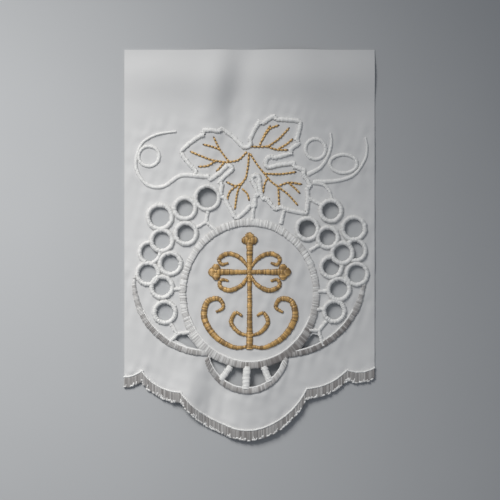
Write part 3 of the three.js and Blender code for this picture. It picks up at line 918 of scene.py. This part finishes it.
# Painted shade: the medallion, the cup arcs and the fan's rim get darker tones where their stitches run one
# way, and the fan's rim also has lower tones for its shade.
MEDALLION_SHADE, MEDALLION_EDGE = 0.75, (200, 340)
FAN_SHADE, FAN_AXIS, FAN_TONES = 0.4, 60, (0.4, 0.9)
CUP_EDGE_FROM = 0.3
LEAF_CROWN, TENDRIL_CROWN, HEM_CROWN = 1.1, 0.85, 0.55
CUP_SHADES = [(0.44, 52), (0.66, 298)]  # how much and along which way the cup arcs look dark
CUT_WRAP = (0, 0.42)
ROUND_WRAP = (0.42, 0.42)

draw = np.random.default_rng(11)


def edging(line, kept=1.0, wander=0.05):
    """A bright thread laid along the edge of a band, whole or worn away in places."""
    middle, way, share = spaced(line, EDGE_STITCH)
    some = draw.uniform(0, 1, len(middle)) < kept
    middle, way = middle[some] + draw.normal(0, wander, (some.sum(), 2)), way[some]
    half = way * EDGE_STITCH * EDGE_OVERLAP
    tones = (kept * EDGE_TONE, 1.0)
    rows = middle - half, middle + half
    return satin(rows, EDGE_CROWN, EDGE_PITCH, draw, tones=tones, painted_end_shade=0.0, scatter=0.05)


def band(rows, shade, tones=(0.5, 1.0), **shape):
    shape.update(tones=tones, shade=shade, shoulder=BAND_SHOULDER)
    return satin(rows, BAND_CROWN, BAND_PITCH, draw, **shape)


ring_chunks = {"left": [], "right": []}
for i, rows in enumerate(ring_rows):
    hand = "left" if GRAPES[i][0] < 0 else "right"
    ring_chunks[hand].append(satin(rows, RING_CROWN, RING_PITCH, draw, wrap=CUT_WRAP, rings=11))
pieces = [thread_piece(f"grape_rings_{hand}", chunks, white_thread) for hand, chunks in ring_chunks.items()]

cups = [band(rows, shade, axis=axis) for rows, (shade, axis) in zip(cup_rows, CUP_SHADES)]
for x, y, r, width, first, last in CUP_ARCS:
    inner, bright_from = r - width / 2, first + (last - first) * CUP_EDGE_FROM
    cups.append(edging(arc(x, y, inner, inner, bright_from, last)))
pieces.append(thread_piece("cup_arcs", cups, white_thread))
fan_rim = band(fan_rows, FAN_SHADE, FAN_TONES, axis=FAN_AXIS, wrap=CUT_WRAP, rings=11)
fan = [fan_rim, edging(fan_rows[1])]
fan += [satin(rows, FAN_BAR_CROWN, BAND_PITCH, draw, wrap=ROUND_WRAP, rings=13) for rows in fan_bar_rows]
pieces.append(thread_piece("fan", fan, white_thread))
medallion = [band(medallion_rows, MEDALLION_SHADE)]
medallion.append(edging(arc(*MEDALLION, *MEDALLION_INNER, *MEDALLION_EDGE)))
pieces.append(thread_piece("medallion_band", medallion, white_thread))
bars = [satin(rows, BAR_CROWN, BAND_PITCH, draw) for rows in bar_rows]
pieces.append(thread_piece("tie_bars", bars, white_thread))

# %% Leaf, tendrils and hem
# Painted shade: the hem's ribs get dark tones, the shade of upright satin under a light from above.
LINE_TONES, SHADED_RIB_TONES, LOOP_TONES = (0.88, 1.0), (0.08, 0.45), (0.75, 1.0)
LOOP_COUNT, LOOP_REACH, LOOP_CROWN, LOOP_PITCH = 90, 0.3, 0.8, 0.6
LOOP_SPAN, LOOP_LEAN, LOOP_RISE = (-74.5, 74.0), 0.7, (1.2, 2.8)
HEM_TOP_EDGE, HEM_LOW_EDGE, LOW_EDGE_KEPT, LOW_EDGE_WANDER = 0.2, 0.4, 0.55, 0.3

leaf = [satin(rows, LEAF_CROWN, LINE_PITCH, draw, scatter=0.15, tones=LINE_TONES) for rows in leaf_rows]
pieces.append(thread_piece("leaf_outline", leaf, white_thread))
vine_rows = [*tendril_rows, *curl_rows]
vines = [satin(rows, TENDRIL_CROWN, LINE_PITCH, draw, scatter=0.07, tones=LINE_TONES) for rows in vine_rows]
pieces.append(thread_piece("tendrils", vines, white_thread))
rib_shape = {"wrap": (0.3, 0), "scatter": 0.12, "rings": 12, "shoulder": 0.3}
ribs = satin(hem_rows, HEM_CROWN, HEM_PITCH, draw, tones=SHADED_RIB_TONES, **rib_shape)
loops_x = np.sort(draw.uniform(*LOOP_SPAN, LOOP_COUNT))
loops_y = np.interp(loops_x, *hem_line.T) - draw.uniform(0, LOOP_REACH, LOOP_COUNT)
loop_feet = np.stack([loops_x, loops_y], axis=1)
loop_rise = draw.uniform(*LOOP_RISE, LOOP_COUNT)
loop_heads = loop_feet + np.stack([np.full(LOOP_COUNT, LOOP_LEAN), loop_rise], axis=1)
loops = satin((loop_feet, loop_heads), LOOP_CROWN, LOOP_PITCH, draw, tones=LOOP_TONES, painted_end_shade=0.0)
top_edge = edging(hem_line + (0, HEM_BAND + HEM_TOP_EDGE))
low_edge = edging(hem_line + (0, HEM_LOW_EDGE), LOW_EDGE_KEPT, LOW_EDGE_WANDER)
pieces.append(thread_piece("hem_stitching", [ribs, loops, top_edge, low_edge], white_thread))

# %% [markdown]
# ## Gold satin and veins
# The gold strokes have no cut edges. Their crown follows their width, so that a swelling stroke also
# rises.

# %% Gold
GOLD_CROWN, GOLD_BASE, GOLD_TONES = 0.45, 0.25, (0.3, 1.0)
VEIN_CROWN, VEIN_HALF_WIDTH, VEIN_HALF_HEIGHT, DIP_CROWN = 0.6, 0.62, 0.42, 0.2
gold = []
for rows in gold_rows:
    width = np.linalg.norm(rows[1] - rows[0], axis=1)
    crown = GOLD_BASE + GOLD_CROWN * np.sqrt(width)
    # Painted shade: each gold stitch darkens towards its ends, where it goes into the cloth.
    gold.append(satin(rows, crown, GOLD_PITCH, draw, tones=GOLD_TONES, painted_end_shade=0.7, scatter=0.1, rings=8))
gold_cross = thread_piece("gold_cross_satin", gold, gold_thread)
# Painted shade: vein stitches darken fully at their ends, and the dips between them get dark tones for the
# shade where the thread goes down.
vein_paths = stitch_paths(veins, VEIN_CROWN, draw, scatter=0.08)
vein_tubes = tubes(*vein_paths, VEIN_HALF_WIDTH, VEIN_HALF_HEIGHT, draw, (0.85, 1.0), 1.0)
dip_paths = stitch_paths(vein_dips, DIP_CROWN, draw, scatter=0.05)
dip_tubes = tubes(*dip_paths, VEIN_HALF_WIDTH * 0.8, VEIN_HALF_HEIGHT, draw, (0.0, 0.25), 0.0)
vein_stitches = thread_piece("leaf_veins", [vein_tubes, dip_tubes], gold_thread)

# %% [markdown]
# ## Riding on the body
# Every piece, the sheet and all its stitching, rides on the one body that the frame has. The measured
# solids of the cloth and the gold cross are hidden.

# %% Ride, and hide the measured solids
for piece in [cloth, *pieces, gold_cross, vein_stitches]:
    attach(piece, "root")
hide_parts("cloth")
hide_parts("gold_cross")
